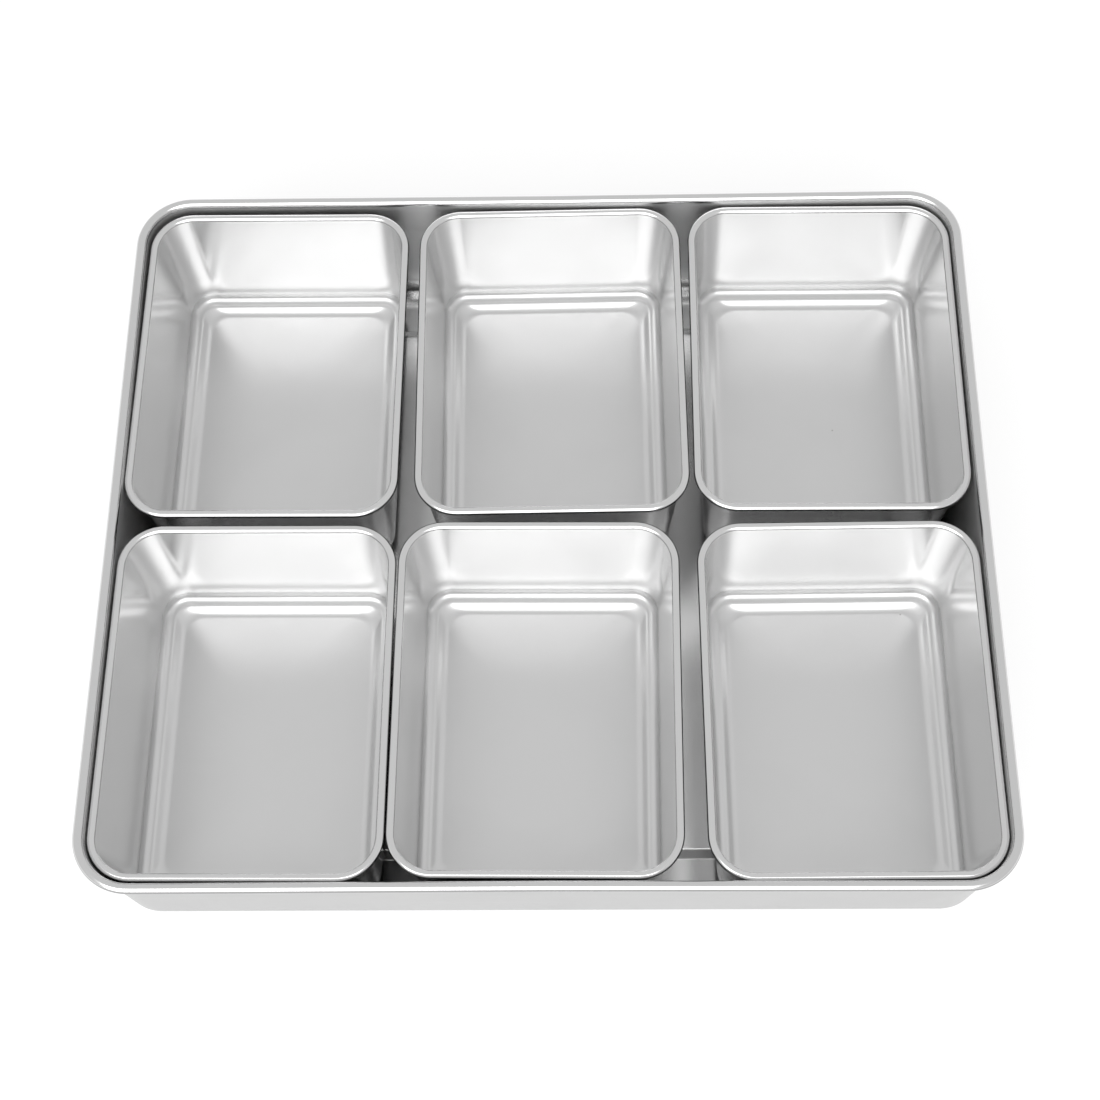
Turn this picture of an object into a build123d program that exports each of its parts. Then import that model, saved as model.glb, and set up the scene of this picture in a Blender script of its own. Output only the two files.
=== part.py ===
from build123d import *
from dataclasses import dataclass
import math
import os

os.makedirs("parts", exist_ok=True)

# Outer tray: one drawn sheet, its rim curled outwards, its floor pressed up inside a channel
tray_width = 355.0
tray_depth = 306.5
tray_height = 68.0
tray_sheet = 0.8
tray_curl_width = 4.0
tray_curl_height = 3.9
tray_corner_radius = 22.6
tray_draft_angle = 3.2
tray_foot_radius = 8.0
tray_panel_inset = 29.0
tray_panel_rise = 2.5
tray_panel_slope_width = 3.6
tray_channel_corner_radius = 12.0
tray_panel_corner_radius = 10.0

# Inner pans: the same kind of drawing, the rim rolled shut, the floor pressed down inside a ledge
pan_columns = 3
pan_rows = 2
pan_sheet = 0.7
pan_curl_width = 3.4
pan_curl_height = 3.3
pan_draft_angle = 4.2
pan_foot_radius = 4.0
pan_ledge_inset = 11.8
pan_floor_drop = 2.2
pan_floor_slope_width = 3.2
pan_ledge_corner_radius = 5.6
pan_floor_corner_radius = 8.5

# How the pans fit the tray: the play of each pan across and along its cell of the tray,
# the height of the tray's rim over theirs, and how much rounder the tray's corners are
side_play = 3.27
end_play = 3.45
rim_set_back = 3.5
pan_corner_relief = 0.8

# The six pans, up each column of the tray in turn from the left, and how each was put down:
# its shift within its cell as a share of the play, and its turn
pan_names = (
    "pan_front_left",
    "pan_back_left",
    "pan_front_middle",
    "pan_back_middle",
    "pan_front_right",
    "pan_back_right",
)
pan_shift_shares = {
    "pan_front_left": (-0.255, -0.210),
    "pan_back_left": (-0.224, -0.143),
    "pan_front_middle": (-1.100, 0.000),
    "pan_back_middle": (0.456, 0.080),
    "pan_front_right": (0.243, -0.283),
    "pan_back_right": (0.221, 0.167),
}
pan_turn_angles = {
    "pan_front_left": -0.30,
    "pan_back_left": -0.40,
    "pan_front_middle": -0.45,
    "pan_back_middle": 0.55,
    "pan_front_right": 0.35,
    "pan_back_right": -0.30,
}

# Worked out from the sizes above
cell_width = (tray_width - 2 * tray_curl_width) / pan_columns
cell_depth = (tray_depth - 2 * tray_curl_width) / pan_rows
pan_width = cell_width - side_play
pan_depth = cell_depth - end_play
pan_corner_radius = tray_corner_radius - tray_curl_width - pan_corner_relief
pan_seat_level = tray_sheet + tray_panel_rise
pan_height = tray_height - rim_set_back - pan_seat_level


@dataclass(frozen=True)
class Vessel:
    """A vessel drawn from one sheet, with its sizes taken on the inner face."""

    width: float
    depth: float
    height: float
    sheet: float
    curl_width: float
    curl_height: float
    curl_is_open: bool
    corner_radius: float
    draft_angle: float
    foot_radius: float
    ledge_level: float
    ledge_inset: float
    ledge_corner_radius: float
    floor_step: float
    floor_slope_width: float
    floor_corner_radius: float

    @property
    def rim_level(self):
        """Height of the middle of the rolled rim, where the drawn wall ends."""
        return self.height - self.curl_height / 2

    def outline(self, inset, radius):
        """The vessel's outline, brought in from the outside of its rim."""
        return RectangleRounded(self.width - 2 * inset, self.depth - 2 * inset, radius)

    def filled(self, skin):
        """The solid that fills the vessel and reaches a skin's thickness past its inner face."""
        wall_inset = self.curl_width - skin
        level = self.ledge_level - skin
        rises = self.floor_step > 0
        # The sheet keeps its thickness round the step's two bends, which shifts its outlines
        slope_angle = math.atan2(abs(self.floor_step), self.floor_slope_width)
        shift = skin * math.tan(slope_angle / 2) * (1 if rises else -1)
        with BuildPart() as form:
            with BuildSketch(Plane.XY.offset(self.rim_level)):
                self.outline(wall_inset, self.corner_radius - wall_inset)
            extrude(amount=self.rim_level - level, dir=(0, 0, -1), taper=self.draft_angle)
            foot = form.faces().sort_by(Axis.Z)[0].outer_wire()
            fillet(foot.edges(), self.foot_radius + skin)
            with BuildSketch(Plane.XY.offset(level)):
                self.outline(self.ledge_inset + shift, self.ledge_corner_radius - shift)
            with BuildSketch(Plane.XY.offset(level + self.floor_step)):
                self.outline(
                    self.ledge_inset + self.floor_slope_width + shift,
                    self.floor_corner_radius - shift,
                )
            loft(mode=Mode.SUBTRACT if rises else Mode.ADD)
        return form.part

    def curl_section(self):
        """The section of the rolled rim, about its middle, with the wall ending at its left."""
        across = self.curl_width / 2
        up = self.curl_height / 2
        across_inside = across - self.sheet
        up_inside = up - self.sheet
        with BuildSketch() as section:
            with BuildLine():
                EllipticalCenterArc((0, 0), across, up, start_angle=90, arc_size=90)
                EllipticalCenterArc((0, 0), across, up, start_angle=-90, arc_size=180)
                if self.curl_is_open:
                    EllipticalCenterArc((0, 0), across_inside, up_inside, start_angle=90, arc_size=90)
                    EllipticalCenterArc((0, 0), across_inside, up_inside, start_angle=-90, arc_size=180)
                    Line((0, -up), (0, -up_inside))
                    Line((-across_inside, 0), (-across, 0))
                else:
                    mid_sheet = self.sheet / 2 - across
                    Polyline((0, -up), (mid_sheet, -up), (mid_sheet, 0), (-across, 0))
            make_face()
        return section.sketch

    def shell(self):
        """The drawn sheet and its rolled rim, in one piece."""
        with BuildPart() as vessel:
            add(self.filled(self.sheet))
            add(self.filled(0), mode=Mode.SUBTRACT)
            with BuildSketch(Plane.XY.offset(self.rim_level), mode=Mode.PRIVATE) as rim:
                self.outline(self.curl_width / 2, self.corner_radius - self.curl_width / 2)
            path = rim.sketch.faces()[0].outer_wire()
            outward = (path % 0).cross(Vector(0, 0, 1))
            outward = outward if outward.dot(path @ 0 - rim.sketch.center()) > 0 else -outward
            with BuildSketch(Plane(path @ 0, x_dir=outward, z_dir=outward.cross(Vector(0, 0, 1)))):
                add(self.curl_section())
            sweep(path=path)
        return vessel.part


tray = Vessel(
    width=tray_width,
    depth=tray_depth,
    height=tray_height,
    sheet=tray_sheet,
    curl_width=tray_curl_width,
    curl_height=tray_curl_height,
    curl_is_open=True,
    corner_radius=tray_corner_radius,
    draft_angle=tray_draft_angle,
    foot_radius=tray_foot_radius,
    ledge_level=tray_sheet,
    ledge_inset=tray_panel_inset,
    ledge_corner_radius=tray_channel_corner_radius,
    floor_step=tray_panel_rise,
    floor_slope_width=tray_panel_slope_width,
    floor_corner_radius=tray_panel_corner_radius,
)

pan = Vessel(
    width=pan_width,
    depth=pan_depth,
    height=pan_height,
    sheet=pan_sheet,
    curl_width=pan_curl_width,
    curl_height=pan_curl_height,
    curl_is_open=False,
    corner_radius=pan_corner_radius,
    draft_angle=pan_draft_angle,
    foot_radius=pan_foot_radius,
    ledge_level=pan_sheet + pan_floor_drop,
    ledge_inset=pan_ledge_inset,
    ledge_corner_radius=pan_ledge_corner_radius,
    floor_step=-pan_floor_drop,
    floor_slope_width=pan_floor_slope_width,
    floor_corner_radius=pan_floor_corner_radius,
)

# The tray stands on its channel, with the middle of its underside at the origin
with BuildPart() as outer_tray:
    add(tray.shell())
outer_tray.part.label = "outer_tray"
export_step(outer_tray.part, "parts/outer_tray.step")

# Each pan stands on the tray's raised floor, shifted and turned a little as it was put down
drawn_pan = pan.shell()
cells = GridLocations(cell_width, cell_depth, pan_columns, pan_rows).local_locations
for name, cell in zip(pan_names, cells):
    side_share, end_share = pan_shift_shares[name]
    shift = Vector(side_share * side_play, end_share * end_play, pan_seat_level)
    with BuildPart() as garnish_pan:
        with Locations(cell.position + shift):
            add(drawn_pan, rotation=(0, 0, pan_turn_angles[name]))
    garnish_pan.part.label = name
    export_step(garnish_pan.part, f"parts/{name}.step")
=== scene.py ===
"""Bar garnish tray: six drawn steel pans standing loose in one drawn steel tray.

Each vessel is one sheet of satin steel. Its section is worked out as a line of points, every point with an
inset from the rim, a level and a corner radius, and that line is carried round a rounded rectangle.
"""

import logging
import math
from dataclasses import dataclass, field
from enum import Enum

import bpy
import numpy as np
from mathutils import Matrix, Vector


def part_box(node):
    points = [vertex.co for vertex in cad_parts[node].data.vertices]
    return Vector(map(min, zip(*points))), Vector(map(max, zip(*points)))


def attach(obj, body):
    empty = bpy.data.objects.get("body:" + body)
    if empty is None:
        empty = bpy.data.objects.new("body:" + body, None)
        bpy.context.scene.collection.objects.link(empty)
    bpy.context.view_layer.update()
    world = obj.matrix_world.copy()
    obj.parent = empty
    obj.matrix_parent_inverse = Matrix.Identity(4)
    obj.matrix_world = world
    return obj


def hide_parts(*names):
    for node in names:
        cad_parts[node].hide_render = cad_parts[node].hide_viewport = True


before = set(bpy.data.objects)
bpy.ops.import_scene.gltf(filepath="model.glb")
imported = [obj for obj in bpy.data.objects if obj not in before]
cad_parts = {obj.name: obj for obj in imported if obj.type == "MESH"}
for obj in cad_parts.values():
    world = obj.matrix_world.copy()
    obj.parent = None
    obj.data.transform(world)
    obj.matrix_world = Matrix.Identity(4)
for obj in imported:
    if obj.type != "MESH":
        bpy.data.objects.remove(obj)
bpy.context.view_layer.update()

MM = 0.001
LOG = logging.getLogger("garnish_tray")


# Shapes: the section of a drawn sheet, and the surface it makes round the rim


class RollEnd(Enum):
    """How the rolled rim ends under the wall."""

    OPEN = "open"
    SHUT = "shut"


@dataclass
class SectionLine:
    """Points of a section as three arrays: inset from the rim, level, and corner radius, in mm."""

    inset: np.ndarray
    level: np.ndarray
    radius: np.ndarray

    @classmethod
    def joined(cls, parts: list["SectionLine"]) -> "SectionLine":
        """Several stretches end to end.

        Args:
            parts: The stretches, in order.

        Returns:
            One line with all their points.
        """
        return cls(
            np.concatenate([p.inset for p in parts]),
            np.concatenate([p.level for p in parts]),
            np.concatenate([p.radius for p in parts]),
        )


def graded(count: int, first: float) -> np.ndarray:
    """Shares from 0 to 1 that crowd at both ends, so that a flat stays flat beside a bend.

    The first gap is `first`, and the gaps grow evenly in ratio up to the middle.

    Args:
        count: Number of gaps up to the middle.
        first: Size of the first gap, as a share of the whole.

    Returns:
        The shares strictly between 0 and 1.
    """
    widest_first, middle = 0.2, 0.5
    steps = np.geomspace(min(first, widest_first), middle, count)
    return np.concatenate([steps, 1 - steps[-2::-1]])


def bent_line(
    corners: np.ndarray,
    bends: np.ndarray,
    arc_points: int = 7,
    straight_gaps: int = 5,
    first_gap: float = 0.3,
) -> SectionLine:
    """A line through corners in the section's plane, each inner corner rounded by an arc.

    At a corner that turns by an angle a, the arc of radius r starts r*tan(a/2) before it. The corner radius
    of the outline is carried along the straight from one corner's to the next.

    Args:
        corners: Rows of inset, level and outline corner radius, in mm.
        bends: Bend radius at each row, in mm, which is not used at the two ends.
        arc_points: Points on each arc.
        straight_gaps: Gaps up to the middle of each straight.
        first_gap: Gap beside each bend, in mm, on a straight of a millimetre or more.

    Returns:
        The line's points.
    """
    flat = corners[:, :2]
    run = np.diff(flat, axis=0)
    length = np.linalg.norm(run, axis=1)
    along = run / length[:, None]
    turn = np.arctan2(
        along[:-1, 0] * along[1:, 1] - along[:-1, 1] * along[1:, 0],
        (along[:-1] * along[1:]).sum(1),
    )
    reach = np.concatenate([[0.0], bends[1:-1] * np.tan(np.abs(turn) / 2), [0.0]])
    parts = []
    for k in range(len(corners)):
        here = corners[k]
        if 0 < k < len(corners) - 1:
            side = np.sign(turn[k - 1])
            start = flat[k] - along[k - 1] * reach[k]
            normal = np.array([-along[k - 1][1], along[k - 1][0]]) * side
            angle = np.linspace(0, abs(turn[k - 1]), arc_points)
            arc = (
                start
                + bends[k] * np.sin(angle)[:, None] * along[k - 1]
                + bends[k] * (1 - np.cos(angle))[:, None] * normal
            )
            parts.append(SectionLine(arc[:, 0], arc[:, 1], np.full(arc_points, here[2])))
        else:
            parts.append(SectionLine(here[:1], here[1:2], here[2:3]))
        if k < len(corners) - 1:
            clear = length[k] - reach[k] - reach[k + 1]
            share = (reach[k] + clear * graded(straight_gaps, first_gap / max(clear, 1.0))) / length[k]
            rows = here + (corners[k + 1] - here) * share[:, None]
            parts.append(SectionLine(rows[:, 0], rows[:, 1], rows[:, 2]))
    return SectionLine.joined(parts)


def eased_radius(corners: np.ndarray, inset: np.ndarray, reach: float = 2.0) -> np.ndarray:
    """Outline corner radii that pass from one row to the next without a kink.

    The radius goes straight from row to row. Outside the outermost row it grows as the inset falls, and
    inside the innermost it stays. It is then averaged over `reach` on both sides of each point, weighted by
    the square of a cosine.

    Args:
        corners: Rows of inset, level and outline corner radius, in mm, by falling inset.
        inset: Insets at which the radius is wanted.
        reach: How far the averaging reaches, in mm.

    Returns:
        A radius for each inset.
    """
    beyond, samples = 9.0, 25
    rows = corners[::-1]
    knots = np.concatenate([[rows[0, 0] - beyond], rows[:, 0], [rows[-1, 0] + beyond]])
    radii = np.concatenate([[rows[0, 2] + beyond], rows[:, 2], [rows[-1, 2]]])
    step = np.linspace(-reach, reach, samples)
    weight = np.cos(step / reach * math.pi / 2) ** 2
    return np.interp(inset[:, None] + step[None, :], knots, radii) @ weight / weight.sum()


@dataclass(frozen=True)
class RimPath:
    """The way round the vessel: four straights and four quarter turns, shared by every point of a section."""

    straight_points: int = 6
    turn_points: int = 20
    first_gap_share: float = 0.004

    def rays(self) -> tuple[np.ndarray, np.ndarray, np.ndarray]:
        """The path as arrays along it.

        On a turn the direction goes round by a quarter and the corner stays; on a straight the corner goes
        evenly to the next one and the direction stays. The bow share rises and falls smoothly along each
        straight as the square of a sine.

        Returns:
            Corner (x, y) from -1 to 1, outward direction (x, y), and bow share.
        """
        corner_of = np.array([(1, -1), (1, 1), (-1, 1), (-1, -1)], float)
        share = np.concatenate([[0.0], graded(self.straight_points, self.first_gap_share), [1.0]])
        corners, angles, bows = [], [], []
        for side in range(4):
            before, after = corner_of[side], corner_of[(side + 1) % 4]
            corners.append(before + (after - before) * share[:, None])
            angles.append(np.full(len(share), side * math.pi / 2))
            bows.append(np.sin(math.pi * share) ** 2)
            turn = np.linspace(0, math.pi / 2, self.turn_points + 2)[1:-1]
            corners.append(np.repeat(after[None], len(turn), 0))
            angles.append(side * math.pi / 2 + turn)
            bows.append(np.zeros(len(turn)))
        angle = np.concatenate(angles)
        return np.concatenate(corners), np.stack([np.cos(angle), np.sin(angle)], 1), np.concatenate(bows)


@dataclass(frozen=True)
class WearAndShadeReach:
    """Where the finish and the painted shade change over a vessel.

    The panel's reach is in mm. The bend's are shares of the foot's radius, the insets are shares of the rim's
    width, and the top and fade of the shade painted under the rim are shares of half the rim's height. Past
    the outermost point of the rim, the first few points still count as rim.
    """

    panel: float = 14.0
    bend_top: float = 1.8
    bend_fade: float = 1.2
    outside_inset: float = 0.8
    # Reach of the shade painted down the rim's outer side, under the roll.
    under_rim_shade_top: float = 0.62
    under_rim_shade_fade: float = 0.16
    under_rim_shade_inset: float = 0.55
    rim_points: int = 4


@dataclass
class DrawnVessel:
    """A vessel pressed from one sheet: drafted walls, a rolled rim, and a floor stepped inside a ledge.

    Sizes are in mm and angles in degrees. The walls bow inwards, by the side bow at the left and right and by
    the end bow at the front and back, and the bow fades towards the floor.
    """

    width: float
    depth: float
    height: float
    sheet: float
    curl_width: float
    curl_height: float
    roll_end: RollEnd
    corner_radius: float
    draft_angle: float
    foot_radius: float
    ledge_level: float
    ledge_inset: float
    ledge_corner_radius: float
    floor_step: float
    floor_slope_width: float
    floor_corner_radius: float
    crease_radius: float
    cove_radius: float
    side_bow: float = 0.0
    end_bow: float = 0.0
    floor_crown: float = 0.0
    floor_lead: float = 4.0
    floor_rings: int = 10
    floor_middle_share: float = 0.96
    floor_corner_share: float = 0.9
    shut_meet_share: float = 0.86
    bow_fade_power: float = 1.5
    path: RimPath = field(default_factory=RimPath)
    reach: WearAndShadeReach = field(default_factory=WearAndShadeReach)

    @property
    def rim_level(self) -> float:
        """Level of the middle of the rolled rim."""
        return self.height - self.curl_height / 2

    @property
    def middle_inset(self) -> float:
        """Inset of the floor's innermost ring, close to its middle."""
        return min(self.width, self.depth) / 2 * self.floor_middle_share

    @property
    def crown_slope(self) -> float:
        """Slope of the floor at its edge, where the crown's parabola starts."""
        run = self.middle_inset - self.ledge_inset - self.floor_slope_width - self.floor_lead
        return 2 * self.floor_crown / run

    def skin(self, offset: float) -> SectionLine:
        """One face of the sheet, from inside the floor's edge out to where the wall meets the rim.

        Args:
            offset: Distance outside the inner face: 0, or the sheet's thickness.

        Returns:
            The face's section.
        """
        lean = math.radians(self.draft_angle)
        slope = math.atan2(abs(self.floor_step), self.floor_slope_width)
        sign = 1 if self.floor_step > 0 else -1
        shift = offset * math.tan(slope / 2) * sign
        level = self.ledge_level - offset
        floor_inset = self.ledge_inset + self.floor_slope_width + shift
        drop = self.rim_level - level
        heel_inset = self.curl_width + drop * math.tan(lean) - offset / math.cos(lean)
        top_inset = self.curl_width - offset / math.cos(lean)
        radius = self.corner_radius
        hollow = (offset == 0) == (sign < 0)
        floor_bend = self.cove_radius + (0 if hollow else self.sheet)
        ledge_bend = self.crease_radius + (self.sheet if hollow else 0)
        floor_level, floor_radius = level + self.floor_step, self.floor_corner_radius - shift
        lead = self.floor_lead
        rows = np.array(
            [
                (floor_inset + lead, floor_level + lead * self.crown_slope, floor_radius),
                (floor_inset, floor_level, floor_radius),
                (self.ledge_inset + shift, level, self.ledge_corner_radius - shift),
                (heel_inset, level, radius - heel_inset),
                (top_inset, self.rim_level, radius - top_inset),
            ]
        )
        bends = np.array([0, floor_bend, ledge_bend, self.foot_radius + offset, 0])
        line = bent_line(rows, bends)
        return SectionLine(line.inset, line.level, eased_radius(rows, line.inset))

    def roll(self, offset: float, first: float, last: float, points: int) -> SectionLine:
        """A stretch of the rolled rim, an elliptic arc about its middle.

        Args:
            offset: Distance inside the roll's outer face.
            first: Angle of the first point in degrees, where 180 is the wall and 90 the top.
            last: Angle of the last point.
            points: Number of points.

        Returns:
            The arc's section.
        """
        angle = np.radians(np.linspace(first, last, points))
        inset = self.curl_width / 2 - (self.curl_width / 2 - offset) * np.cos(angle)
        level = self.rim_level + (self.curl_height / 2 - offset) * np.sin(angle)
        return SectionLine(inset, level, self.corner_radius - inset)

    def crowned_floor(self, edge: SectionLine) -> SectionLine:
        """Rings of the floor from near its middle out to its edge, risen by a parabola of the inset.

        Args:
            edge: The face's section, whose first point the floor joins.

        Returns:
            The floor's section.
        """
        outer = edge.inset[0]
        inner = self.middle_inset
        inset = np.linspace(inner, outer, self.floor_rings)[:-1]
        share = (inset - outer) / (inner - outer)
        level = edge.level[0] + self.floor_crown * (1 - (1 - share) ** 2)
        room = min(self.width, self.depth) / 2 - inset
        return SectionLine(inset, level, np.minimum(edge.radius[0], room * self.floor_corner_share))

    def section(self) -> SectionLine:
        """The whole section, from the middle of the floor's top, over the rim and back under the floor.

        Returns:
            The section. A rim that is shut ends against the wall, and its outer face starts below there.
        """
        inner, outer = self.skin(0.0), self.skin(self.sheet)
        back = SectionLine(outer.inset[::-1], outer.level[::-1], outer.radius[::-1])
        top_floor, low_floor = self.crowned_floor(inner), self.crowned_floor(outer)
        under = SectionLine(low_floor.inset[::-1], low_floor.level[::-1], low_floor.radius[::-1])
        wall_angle, open_angle, shut_angle = 176, -90, -124
        if self.roll_end is RollEnd.OPEN:
            rim = [
                self.roll(0.0, wall_angle, open_angle, points=26),
                self.roll(self.sheet, open_angle, wall_angle, points=22),
            ]
        else:
            rim = [self.roll(0.0, wall_angle, shut_angle, points=28)]
            meet = self.rim_level - self.curl_height / 2 * self.shut_meet_share
            back = SectionLine(back.inset[1:], np.minimum(back.level[1:], meet), back.radius[1:])
        return SectionLine.joined([top_floor, inner] + rim + [back, under])

    def wear_and_shade(self, line: SectionLine) -> dict[str, np.ndarray]:
        """Where each point of the section is, as shares that the finish and the painted shade read.

        `panel` rises from 0 at the edge of the floor to 1 well inside it. `bend` is 1 on the floor, the step
        and the ledge and falls to 0 up the wall's foot. `outside` is 1 on the outer face, under the rim.
        The fourth share, painted shade under the rim, rises from 0 to 1 part of the way down its outer side,
        and stays 1 below.

        Args:
            line: The section.

        Returns:
            The four shares, by name.
        """
        rise = (line.level - self.rim_level) / (self.curl_height / 2)
        floor_inset = self.ledge_inset + self.floor_slope_width
        foot_top = self.ledge_level + self.foot_radius * self.reach.bend_top
        past_rim = np.arange(len(rise)) > int(np.argmin(line.inset)) + self.reach.rim_points
        outer_side = line.inset < self.curl_width * self.reach.under_rim_shade_inset
        return {
            "panel": np.clip((line.inset - floor_inset) / self.reach.panel, 0, 1),
            "bend": np.clip((foot_top - line.level) / (self.foot_radius * self.reach.bend_fade), 0, 1),
            "outside": past_rim & (line.inset > self.curl_width * self.reach.outside_inset),
            # Painted shade: a mask that darkens the rim's outer side from part way down, under the roll.
            "under_rim_shade": np.clip((self.reach.under_rim_shade_top - rise) / self.reach.under_rim_shade_fade, 0, 1) * outer_side,
        }

    def surface(self) -> tuple[np.ndarray, np.ndarray, np.ndarray, dict[str, np.ndarray]]:
        """The section carried round the rim.

        A point with inset d, level z and corner radius r, on a ray with corner c and direction n, lies at
        c * (half size - d - r) + n * (r - bow), where the bow fades from the rim to the floor.

        Returns:
            Vertices on a grid (ray, section point), the distance round the rim at each ray, the distance
            along the section at each point, all in metres, and the shares for wear and painted shade at each
            point.
        """
        line = self.section()
        corner, out, bow = self.path.rays()
        half = np.array([self.width, self.depth]) / 2
        core = half[None, :] - (line.inset + line.radius)[:, None]
        rise = (line.level - self.ledge_level) / (self.rim_level - self.ledge_level)
        fade = np.clip(rise, 0, 1) ** self.bow_fade_power
        depth = np.abs(out[:, 0]) * self.side_bow + np.abs(out[:, 1]) * self.end_bow
        inward = (bow * depth)[:, None] * fade[None, :]
        reach = line.radius[None, :] - inward
        xy = corner[:, None, :] * core[None, :, :] + out[:, None, :] * reach[:, :, None]
        z = np.broadcast_to(line.level, reach.shape)
        grid = np.concatenate([xy, z[:, :, None]], 2) * MM
        rim = grid[:, int(np.argmin(line.inset))]
        round_rim = np.concatenate([[0.0], np.cumsum(np.linalg.norm(np.diff(rim, axis=0), axis=1))])
        step = np.hypot(np.diff(line.inset), np.diff(line.level)) * MM
        return grid, round_rim, np.concatenate([[0.0], np.cumsum(step)]), self.wear_and_shade(line)

    def mesh(self, name: str, centre: Vector, turn: float) -> bpy.types.Mesh:
        """The vessel's mesh, closed, with a UV map that follows the rim and the section.

        Args:
            name: Name of the mesh.
            centre: Middle of its base in the row frame, in metres.
            turn: Its turn about the vertical, in degrees.

        Returns:
            The mesh, with its place in its vertices.
        """
        grid, round_rim, along, wear_and_shade = self.surface()
        rays, points = grid.shape[:2]
        c, s = math.cos(math.radians(turn)), math.sin(math.radians(turn))
        flat = grid.reshape(-1, 3) @ np.array([(c, s, 0), (-s, c, 0), (0, 0, 1)]) + np.array(centre)
        index = np.arange(rays * points).reshape(rays, points)
        follow = np.roll(index, -1, axis=0)
        quads = np.stack([index[:, :-1], index[:, 1:], follow[:, 1:], follow[:, :-1]], 2).reshape(-1, 4)
        made = bpy.data.meshes.new(name)
        caps = [index[:, 0].tolist(), index[::-1, -1].tolist()]
        made.from_pydata(flat.tolist(), [], quads.tolist() + caps)
        made.shade_smooth()
        uv = np.zeros((len(made.loops), 2), np.float32)
        vertex = np.zeros(len(made.loops), np.int32)
        made.loops.foreach_get("vertex_index", vertex)
        uv[:, 0] = round_rim[vertex // points]
        uv[:, 1] = along[vertex % points]
        made.uv_layers.new(name="rim_and_section").data.foreach_set("uv", uv.ravel())
        for label, share in wear_and_shade.items():
            kept = made.attributes.new(name=label, type="FLOAT", domain="POINT")
            kept.data.foreach_set("value", np.tile(share, rays).astype(np.float32))
        made.validate()
        made.update()
        return made


# Finishes: shader groups for what the steel's faces share, and the steels themselves


class Graph:
    """A node tree with short calls for adding and linking nodes."""

    def __init__(self, tree: bpy.types.NodeTree) -> None:
        """Keeps the tree that the nodes go into."""
        self.tree = tree

    def add(self, kind: str, inputs: dict | None = None, **settings: object) -> bpy.types.Node:
        """A new node.

        Args:
            kind: Node type, such as ShaderNodeMath.
            inputs: Socket name or number to a value, or to a socket that feeds it.
            settings: Properties of the node.

        Returns:
            The node.
        """
        node = self.tree.nodes.new(kind)
        for key, value in settings.items():
            setattr(node, key, value)
        for key, value in (inputs or {}).items():
            if isinstance(value, bpy.types.NodeSocket):
                self.tree.links.new(value, node.inputs[key])
            else:
                node.inputs[key].default_value = value
        return node

    def math(self, operation: str, a: object, b: object = 0.0) -> bpy.types.NodeSocket:
        """The result of a Math node on two values or sockets."""
        return self.add("ShaderNodeMath", {0: a, 1: b}, operation=operation).outputs[0]

    def mix_colour(self, factor: object, first: object, second: object) -> bpy.types.NodeSocket:
        """Two colours, or sockets, blended by a factor."""
        return self.add("ShaderNodeMix", {0: factor, 6: first, 7: second}, data_type="RGBA").outputs[2]

    def darken(self, factor: object, first: object, second: object) -> bpy.types.NodeSocket:
        """A colour multiplied by another, by a factor."""
        ends = {0: factor, 6: first, 7: second}
        return self.add("ShaderNodeMix", ends, data_type="RGBA", blend_type="MULTIPLY").outputs[2]

    def spread(
        self,
        value: object,
        low: float = 0.0,
        high: float = 1.0,
        to_low: object = 0.0,
        to_high: object = 1.0,
    ) -> bpy.types.NodeSocket:
        """A value mapped from one range to another, held at its ends.

        Args:
            value: The value, or a socket.
            low: Start of its range.
            high: End of its range.
            to_low: What the start becomes, which can be a socket.
            to_high: What the end becomes, which can be a socket.

        Returns:
            The mapped value.
        """
        ends = {0: value, 1: low, 2: high, 3: to_low, 4: to_high}
        return self.add("ShaderNodeMapRange", ends, clamp=True).outputs[0]


def new_group(name: str, inputs: dict[str, str], outputs: dict[str, str]) -> tuple[Graph, dict, dict]:
    """An empty shader node group with named sockets.

    Args:
        name: The group's name.
        inputs: Input name to socket type.
        outputs: Output name to socket type.

    Returns:
        Its graph, its input sockets by name, and its output node's sockets by name.
    """
    tree = bpy.data.node_groups.new(name, "ShaderNodeTree")
    for label, kind in inputs.items():
        tree.interface.new_socket(name=label, in_out="INPUT", socket_type=kind)
    for label, kind in outputs.items():
        tree.interface.new_socket(name=label, in_out="OUTPUT", socket_type=kind)
    graph = Graph(tree)
    entry = graph.add("NodeGroupInput")
    leave = graph.add("NodeGroupOutput")
    return graph, {k: entry.outputs[k] for k in inputs}, {k: leave.inputs[k] for k in outputs}


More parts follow.
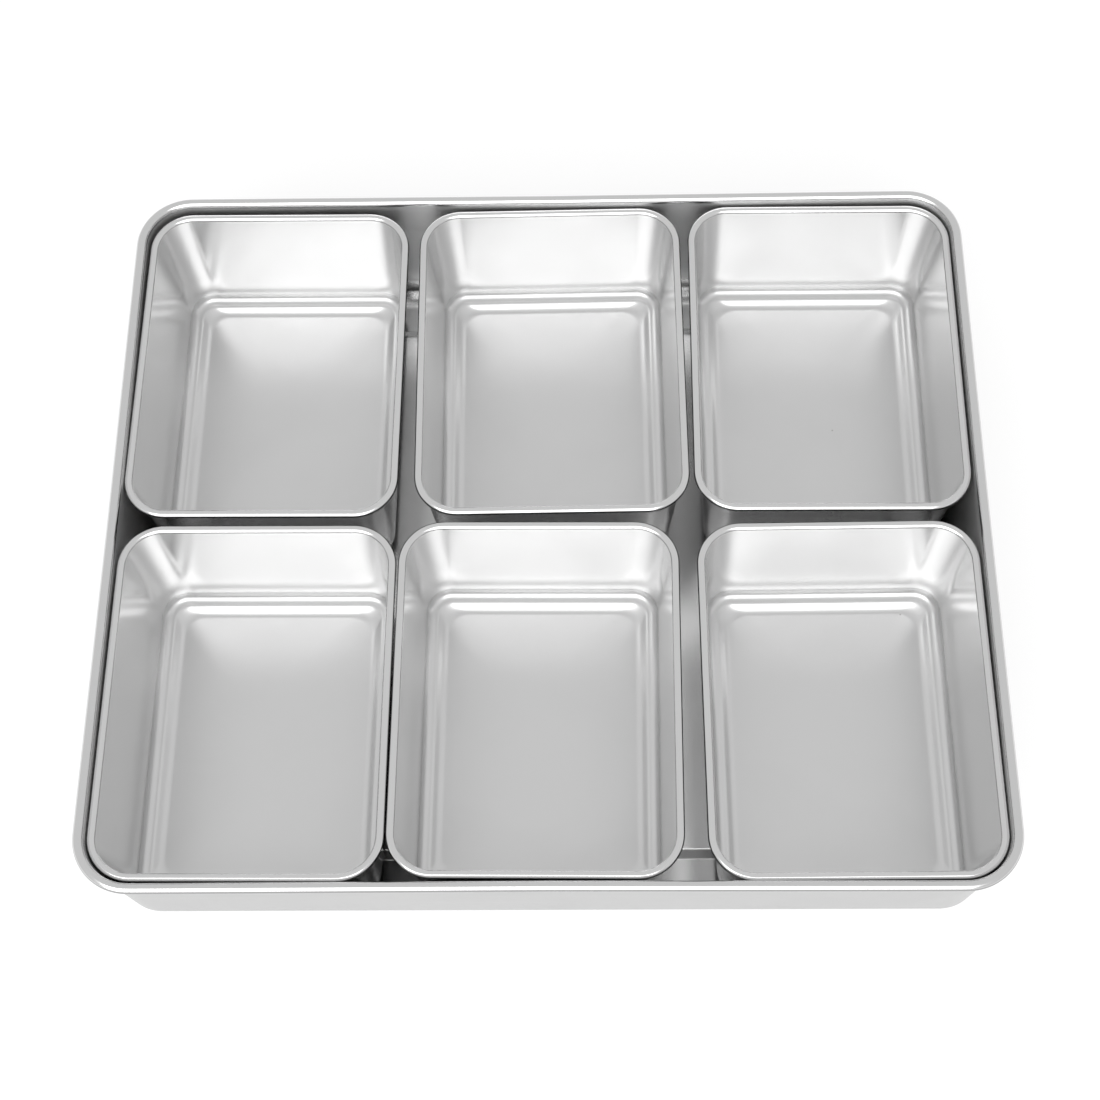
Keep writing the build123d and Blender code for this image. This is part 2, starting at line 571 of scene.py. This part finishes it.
class SteelGroups:
    """The effects that both steels use, each built once."""

    def __init__(self) -> None:
        """Builds the three groups."""
        self.grain = self.rolled_grain()
        self.wave = self.pressed_wave()
        self.marks = self.handling_marks()

    @staticmethod
    def rolled_grain() -> bpy.types.NodeTree:
        """Fine lines left by the mill and the press: noise drawn out one way, plus a share of an even one.

        Returns:
            The group, which gives a height.
        """
        even_share = 0.4
        graph, given, out = new_group(
            "rolled_grain",
            {"Place": "NodeSocketVector", "Fineness": "NodeSocketFloat"},
            {"Height": "NodeSocketFloat"},
        )
        drawn = graph.add("ShaderNodeMapping", {"Vector": given["Place"], "Scale": (1.0, 0.06, 1.0)})
        lines = graph.add(
            "ShaderNodeTexNoise",
            {"Vector": drawn.outputs[0], "Scale": given["Fineness"], "Detail": 3.0, "Roughness": 0.6},
        )
        even = graph.add(
            "ShaderNodeTexNoise",
            {"Vector": given["Place"], "Scale": given["Fineness"], "Detail": 2.0, "Roughness": 0.5},
        )
        total = graph.math("ADD", lines.outputs[0], graph.math("MULTIPLY", even.outputs[0], even_share))
        graph.tree.links.new(total, out["Height"])
        return graph.tree

    @staticmethod
    def pressed_wave() -> bpy.types.NodeTree:
        """Slow unevenness of a pressed sheet, as smooth noise several centimetres across.

        Returns:
            The group, which gives a height.
        """
        graph, given, out = new_group(
            "pressed_wave",
            {"Place": "NodeSocketVector", "Coarseness": "NodeSocketFloat"},
            {"Height": "NodeSocketFloat"},
        )
        slow = graph.add(
            "ShaderNodeTexNoise",
            {"Vector": given["Place"], "Scale": given["Coarseness"], "Detail": 1.0, "Roughness": 0.4},
        )
        graph.tree.links.new(slow.outputs[0], out["Height"])
        return graph.tree

    @staticmethod
    def handling_marks() -> bpy.types.NodeTree:
        """Wiping smears, fine scratches and small specks, each as a mask from 0 to 1.

        Returns:
            The group, which gives the three masks.
        """
        hair_width, rarity = 900.0, 0.93
        graph, given, out = new_group(
            "handling_marks",
            {"Place": "NodeSocketVector"},
            {"Smear": "NodeSocketFloat", "Scratch": "NodeSocketFloat", "Speck": "NodeSocketFloat"},
        )
        smear = graph.add(
            "ShaderNodeTexNoise",
            {"Vector": given["Place"], "Scale": 22.0, "Detail": 4.0, "Roughness": 0.55, "Distortion": 0.6},
        )
        soft = graph.spread(smear.outputs[0], low=0.42, high=0.68)
        hairs = []
        for turn, reach in ((0.35, 9.0), (-0.9, 14.0)):
            narrow = (hair_width, reach, hair_width)
            drawn = graph.add(
                "ShaderNodeMapping",
                {"Vector": given["Place"], "Rotation": (0.0, 0.0, turn), "Scale": narrow},
            )
            hair = graph.add("ShaderNodeTexNoise", {"Vector": drawn.outputs[0], "Scale": 1.0, "Detail": 0.0})
            hairs.append(graph.spread(hair.outputs[0], low=0.72, high=0.80))
        both = graph.math("MAXIMUM", hairs[0], hairs[1])
        broken = graph.spread(smear.outputs[0], low=0.50, high=0.62)
        scratch = graph.math("MULTIPLY", both, broken)
        dots = graph.add("ShaderNodeTexVoronoi", {"Vector": given["Place"], "Scale": 60.0}, feature="F1")
        near = graph.spread(dots.outputs["Distance"], low=0.012, high=0.03, to_low=1.0, to_high=0.0)
        tint = graph.add("ShaderNodeSeparateColor", {0: dots.outputs["Color"]})
        speck = graph.math("MULTIPLY", near, graph.math("GREATER_THAN", tint.outputs[0], rarity))
        graph.tree.links.new(soft, out["Smear"])
        graph.tree.links.new(scratch, out["Scratch"])
        graph.tree.links.new(speck, out["Speck"])
        return graph.tree


def grey(level: float) -> tuple[float, float, float, float]:
    """A neutral grey of the given level, as a colour."""
    return (level, level, level, 1.0)


@dataclass(frozen=True)
class SatinSteel:
    """Satin stainless steel as it leaves the press, wiped and a little handled.

    `tone` and `roughness` are those of the inner walls. `panel_tone` and `bend_roughness` hold for the floor,
    the step and the ledge, and `panel_roughness` takes over well inside the floor. The outside and the rolled
    rim have values of their own, and down the rim's outer side the tone is darkened as painted shade under
    the roll. Heights, and the rim's level and fade, are in metres, apart from the scratch's depth, which is
    in mm.
    """

    name: str
    tone: float
    panel_tone: float
    outside_tone: float
    rim_tone: float
    roughness: float
    bend_roughness: float
    panel_roughness: float
    outside_roughness: float
    smear_roughness: float
    rim_level: float
    rim_roughness: float
    grain_fineness: float
    grain_height: float
    wave_coarseness: float
    wave_height: float
    offset: tuple[float, float, float]
    rim_fade: float = 0.0012
    # Share of the rim's tone kept where shade is painted under the roll.
    under_rim_shade_share: float = 0.5
    smear_share: float = 0.25
    smear_tone: float = 0.95
    speck_colour: tuple[float, float, float, float] = (0.42, 0.41, 0.40, 1.0)
    grain_roughness: float = 0.008
    scratch_roughness: float = 0.015
    scratch_depth: float = 0.0004

    def material(self, groups: SteelGroups) -> bpy.types.Material:
        """The finish as a material.

        Args:
            groups: The shared shader groups.

        Returns:
            A material with the finish's own values.
        """
        made = bpy.data.materials.new(self.name)
        made.use_nodes = True
        made.node_tree.nodes.clear()
        graph = Graph(made.node_tree)
        coordinate = graph.add("ShaderNodeTexCoord")
        place = graph.add(
            "ShaderNodeMapping", {"Vector": coordinate.outputs["Object"], "Location": self.offset}
        ).outputs[0]
        grain = graph.add("ShaderNodeGroup", node_tree=groups.grain)
        wave = graph.add("ShaderNodeGroup", node_tree=groups.wave)
        marks = graph.add("ShaderNodeGroup", node_tree=groups.marks)
        for node in (grain, wave, marks):
            graph.tree.links.new(place, node.inputs["Place"])
        grain.inputs["Fineness"].default_value = self.grain_fineness
        wave.inputs["Coarseness"].default_value = self.wave_coarseness
        up = graph.add("ShaderNodeSeparateXYZ", {0: coordinate.outputs["Object"]}).outputs["Z"]
        rim = graph.spread(up, self.rim_level - self.rim_fade, self.rim_level)
        least_grain, most_grain = 0.45, 0.95
        lines = graph.spread(
            grain.outputs["Height"], least_grain, most_grain, -self.grain_roughness, self.grain_roughness
        )
        panel, bend, outside, under_rim_shade = (
            graph.add("ShaderNodeAttribute", attribute_name=name).outputs["Fac"]
            for name in ("panel", "bend", "outside", "under_rim_shade")
        )
        tone = graph.mix_colour(bend, grey(self.tone), grey(self.panel_tone))
        tone = graph.mix_colour(outside, tone, grey(self.outside_tone))
        tone = graph.mix_colour(rim, tone, grey(self.rim_tone))
        # Painted shade under the rolled rim: the rim's tone is darkened down its outer side.
        tone = graph.mix_colour(under_rim_shade, tone, grey(self.rim_tone * self.under_rim_shade_share))
        dulled = graph.math("MULTIPLY", marks.outputs["Smear"], self.smear_share)
        tone = graph.darken(dulled, tone, grey(self.smear_tone))
        tone = graph.mix_colour(marks.outputs["Speck"], tone, self.speck_colour)
        inside = graph.spread(bend, to_low=self.roughness, to_high=self.bend_roughness)
        inside = graph.spread(panel, to_low=inside, to_high=self.panel_roughness)
        face = graph.spread(outside, to_low=inside, to_high=self.outside_roughness)
        face = graph.spread(rim, to_low=face, to_high=self.rim_roughness)
        smeared = graph.math("MULTIPLY", marks.outputs["Smear"], self.smear_roughness)
        scratch = graph.math("MULTIPLY", marks.outputs["Scratch"], panel)
        scored = graph.math("ADD", smeared, graph.math("MULTIPLY", scratch, self.scratch_roughness))
        rough = graph.math("ADD", graph.math("ADD", face, scored), lines)
        heights = graph.math("MULTIPLY", wave.outputs["Height"], self.wave_height / MM)
        fine = graph.math("MULTIPLY", grain.outputs["Height"], self.grain_height / MM)
        cut = graph.math("MULTIPLY", scratch, -self.scratch_depth)
        height = graph.math("ADD", graph.math("ADD", heights, fine), cut)
        bump = graph.add("ShaderNodeBump", {"Height": height, "Strength": 1.0, "Distance": MM})
        steel = graph.add(
            "ShaderNodeBsdfPrincipled",
            {
                "Base Color": tone,
                "Roughness": rough,
                "Normal": bump.outputs[0],
                "Metallic": 1.0,
            },
        )
        graph.add("ShaderNodeOutputMaterial", {"Surface": steel.outputs[0]})
        return made


# The set: the tray and its six pans


@dataclass
class OuterTray:
    """The tray that the pans stand in."""

    node: str = "outer_tray"
    body: str = "tray"
    slot: str = "tray_steel"
    vessel: DrawnVessel = field(
        default_factory=lambda: DrawnVessel(
            width=355.0,
            depth=306.5,
            height=68.0,
            sheet=0.8,
            curl_width=4.0,
            curl_height=3.9,
            roll_end=RollEnd.OPEN,
            corner_radius=22.6,
            draft_angle=3.2,
            foot_radius=10.0,
            ledge_level=0.8,
            ledge_inset=29.0,
            ledge_corner_radius=12.0,
            floor_step=2.5,
            floor_slope_width=3.6,
            floor_corner_radius=10.0,
            crease_radius=1.6,
            cove_radius=2.0,
            side_bow=0.30,
            end_bow=0.40,
        )
    )

    def build(self, groups: SteelGroups) -> bpy.types.Object:
        """Makes and dresses the tray.

        Args:
            groups: The shared shader groups.

        Returns:
            The tray's object.
        """
        steel = SatinSteel(
            name="tray_steel_satin",
            # Painted light and shade in the tray's tones: the inner tone is set high so that the deep gaps
            # between tray and pans read lighter than their shade, and the outer tone is set low to paint
            # shade on the front wall.
            tone=0.90,
            panel_tone=0.90,
            outside_tone=0.52,
            rim_tone=0.74,
            roughness=0.48,
            bend_roughness=0.20,
            panel_roughness=0.24,
            outside_roughness=0.30,
            smear_roughness=0.02,
            rim_level=self.vessel.rim_level * MM,
            rim_roughness=0.18,
            grain_fineness=900.0,
            grain_height=0.0003 * MM,
            wave_coarseness=14.0,
            wave_height=0.02 * MM,
            offset=(0.3, 0.1, 0.0),
        )
        low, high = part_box(self.node)
        centre = base_centre(low, high)
        return place_vessel(self.vessel, self.node, self.body, centre, 0.0, steel.material(groups))


@dataclass
class GarnishPans:
    """The six loose pans, all from one drawing, each put down a little turned."""

    slot: str = "pan_steel"
    turns: dict[str, float] = field(
        default_factory=lambda: {
            "pan_back_left": -0.40,
            "pan_back_middle": 0.55,
            "pan_back_right": -0.30,
            "pan_front_left": -0.30,
            "pan_front_middle": -0.45,
            "pan_front_right": 0.35,
        }
    )
    vessel: DrawnVessel = field(
        default_factory=lambda: DrawnVessel(
            width=112.397,
            depth=145.80,
            height=61.2,
            sheet=0.7,
            curl_width=3.4,
            curl_height=3.3,
            roll_end=RollEnd.SHUT,
            corner_radius=17.8,
            draft_angle=4.2,
            foot_radius=3.4,
            ledge_level=2.9,
            ledge_inset=11.8,
            ledge_corner_radius=5.6,
            floor_step=-2.2,
            floor_slope_width=3.2,
            floor_corner_radius=8.5,
            crease_radius=1.9,
            cove_radius=4.6,
            floor_crown=1.1,
        )
    )

    def build(self, groups: SteelGroups) -> list[bpy.types.Object]:
        """Makes and dresses the pans.

        Args:
            groups: The shared shader groups.

        Returns:
            The six objects.
        """
        made = []
        for number, (node, turn) in enumerate(self.turns.items()):
            low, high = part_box(node)
            centre = base_centre(low, high)
            steel = SatinSteel(
                name=f"{node}_steel_satin",
                tone=0.74,
                panel_tone=0.75,
                outside_tone=0.64,
                rim_tone=0.76,
                roughness=0.22,
                bend_roughness=0.33,
                panel_roughness=0.36,
                outside_roughness=0.24,
                smear_roughness=0.03,
                rim_level=low.z + self.vessel.rim_level * MM,
                rim_roughness=0.18,
                grain_fineness=1100.0,
                grain_height=0.0006 * MM,
                wave_coarseness=30.0,
                wave_height=0.14 * MM,
                offset=(0.17 * number, 0.29 * number, 0.0),
            )
            finish = steel.material(groups)
            made.append(place_vessel(self.vessel, node, node, centre, turn, finish))
        return made


def base_centre(low: Vector, high: Vector) -> Vector:
    """The middle of the base of a box, given its lowest and highest corner."""
    return Vector(((low.x + high.x) / 2, (low.y + high.y) / 2, low.z))


def place_vessel(
    vessel: DrawnVessel,
    node: str,
    body: str,
    centre: Vector,
    turn: float,
    material: bpy.types.Material,
) -> bpy.types.Object:
    """Puts a vessel where its CAD node is, to move with its body and stand for the node.

    Args:
        vessel: The vessel's shape.
        node: CAD node that it stands for.
        body: CAD body that it moves with.
        centre: Middle of its base, in metres.
        turn: Turn about the vertical, in degrees.
        material: Its finish.

    Returns:
        The new object.
    """
    mesh = vessel.mesh(f"{node}_sheet", centre, turn)
    mesh.materials.append(material)
    made = bpy.data.objects.new(f"{node}_sheet", mesh)
    bpy.context.scene.collection.objects.link(made)
    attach(made, body)
    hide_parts(node)
    LOG.info("%s: %d faces, base at %s", node, len(mesh.polygons), tuple(round(v, 4) for v in centre))
    return made


# The studio: a pale floor, a grey surround, one wide soft box in front, and the camera


@dataclass
class Studio:
    """Floor, light and camera, in metres and degrees, with the lens and the sensor in mm."""

    floor_half: float = 4.0
    floor_level: float = -0.0003
    paper_tone: float = 0.35
    paper_roughness: float = 0.9
    paper_glow: float = 0.72
    bounces: int = 28
    surround: float = 0.73
    box_glow: float = 1.82
    box_size: tuple[float, float] = (1.9, 1.9)
    box_bearing: float = -11.0
    box_tilt: float = 54.0
    box_distance: float = 1.6
    camera_place: tuple[float, float, float] = (0.01758, -0.31095, 0.73457)
    camera_pitch: float = 66.117
    camera_yaw: float = -3.121
    camera_roll: float = -3.292
    camera_lens: float = 60.05
    camera_sensor: float = 36.0
    camera_near: float = 0.01

    def floor(self) -> bpy.types.Object:
        """The pale floor, a flat square that shows white to the camera and keeps the shadow.

        Returns:
            The floor's object.
        """
        half, level = self.floor_half, self.floor_level
        mesh = bpy.data.meshes.new("studio_floor")
        mesh.from_pydata(
            [(-half, -half, level), (half, -half, level), (half, half, level), (-half, half, level)],
            [],
            [(0, 1, 2, 3)],
        )
        mesh.materials.append(self.floor_material())
        made = bpy.data.objects.new("studio_floor", mesh)
        bpy.context.scene.collection.objects.link(made)
        return made

    def floor_material(self) -> bpy.types.Material:
        """Paper that shows white: a grey that keeps the shadow, plus a glow for the camera and for mirrors.

        Returns:
            The floor's material.
        """
        made = bpy.data.materials.new("studio_paper")
        made.use_nodes = True
        made.node_tree.nodes.clear()
        graph = Graph(made.node_tree)
        path = graph.add("ShaderNodeLightPath")
        seen = graph.math(
            "MAXIMUM",
            path.outputs["Is Camera Ray"],
            graph.math("MAXIMUM", path.outputs["Is Glossy Ray"], path.outputs["Is Transmission Ray"]),
        )
        paper = graph.add(
            "ShaderNodeBsdfPrincipled",
            {
                "Base Color": grey(self.paper_tone),
                "Roughness": self.paper_roughness,
                "Specular IOR Level": 0.0,
                "Emission Color": grey(1.0),
                "Emission Strength": graph.math("MULTIPLY", seen, self.paper_glow),
            },
        )
        graph.add("ShaderNodeOutputMaterial", {"Surface": paper.outputs[0]})
        return made

    def light(self) -> None:
        """The even grey surround, white where the camera sees it, and the soft box in front and above."""
        world = bpy.data.worlds.new("studio_surround")
        bpy.context.scene.world = world
        world.use_nodes = True
        world.node_tree.nodes.clear()
        graph = Graph(world.node_tree)
        seen = graph.add("ShaderNodeLightPath").outputs["Is Camera Ray"]
        level = graph.spread(seen, to_low=self.surround)
        back = graph.add("ShaderNodeBackground", {"Color": grey(1.0), "Strength": level})
        graph.add("ShaderNodeOutputWorld", {"Surface": back.outputs[0]})
        lamp = bpy.data.lights.new("front_soft_box", "AREA")
        lamp.shape = "RECTANGLE"
        lamp.size, lamp.size_y = self.box_size
        lamp.energy = self.box_glow * math.pi * self.box_size[0] * self.box_size[1]
        made = bpy.data.objects.new("front_soft_box", lamp)
        bpy.context.scene.collection.objects.link(made)
        bearing, tilt = math.radians(self.box_bearing), math.radians(self.box_tilt)
        toward = Vector(
            (math.sin(bearing) * math.sin(tilt), -math.cos(bearing) * math.sin(tilt), math.cos(tilt))
        )
        made.location = toward * self.box_distance
        made.rotation_euler = (-toward).to_track_quat("-Z", "Y").to_euler()
        made.visible_camera = False

    def camera(self) -> None:
        """The camera, solved from the outlines of the rims: pitch below level, yaw and roll."""
        pitch, yaw, roll = (math.radians(a) for a in (self.camera_pitch, self.camera_yaw, self.camera_roll))
        ahead = Vector(
            (math.sin(yaw) * math.cos(pitch), math.cos(yaw) * math.cos(pitch), -math.sin(pitch))
        )
        right = Vector((math.cos(yaw), -math.sin(yaw), 0.0))
        up = right.cross(ahead)
        right, up = (
            math.cos(roll) * right + math.sin(roll) * up,
            -math.sin(roll) * right + math.cos(roll) * up,
        )
        data = bpy.data.cameras.new("photo_camera")
        data.lens = self.camera_lens
        data.sensor_width = self.camera_sensor
        data.clip_start = self.camera_near
        made = bpy.data.objects.new("photo_camera", data)
        bpy.context.scene.collection.objects.link(made)
        turn = Matrix((right, up, -ahead)).transposed().to_4x4()
        made.matrix_world = Matrix.Translation(Vector(self.camera_place)) @ turn
        bpy.context.scene.camera = made

    def build(self) -> None:
        """Sets up the floor, the light and the camera."""
        self.floor()
        self.light()
        self.camera()
        scene = bpy.context.scene
        scene.view_settings.view_transform = "Standard"
        scene.cycles.max_bounces = self.bounces
        scene.cycles.glossy_bounces = self.bounces


def main() -> None:
    """Builds the tray, the pans and the studio, and reports each piece."""
    logging.basicConfig(level=logging.INFO, format="%(name)s: %(message)s")
    groups = SteelGroups()
    tray = OuterTray().build(groups)
    pans = GarnishPans().build(groups)
    Studio().build()
    LOG.info("%s and %d pans", tray.name, len(pans))


if __name__ == "__main__":
    main()
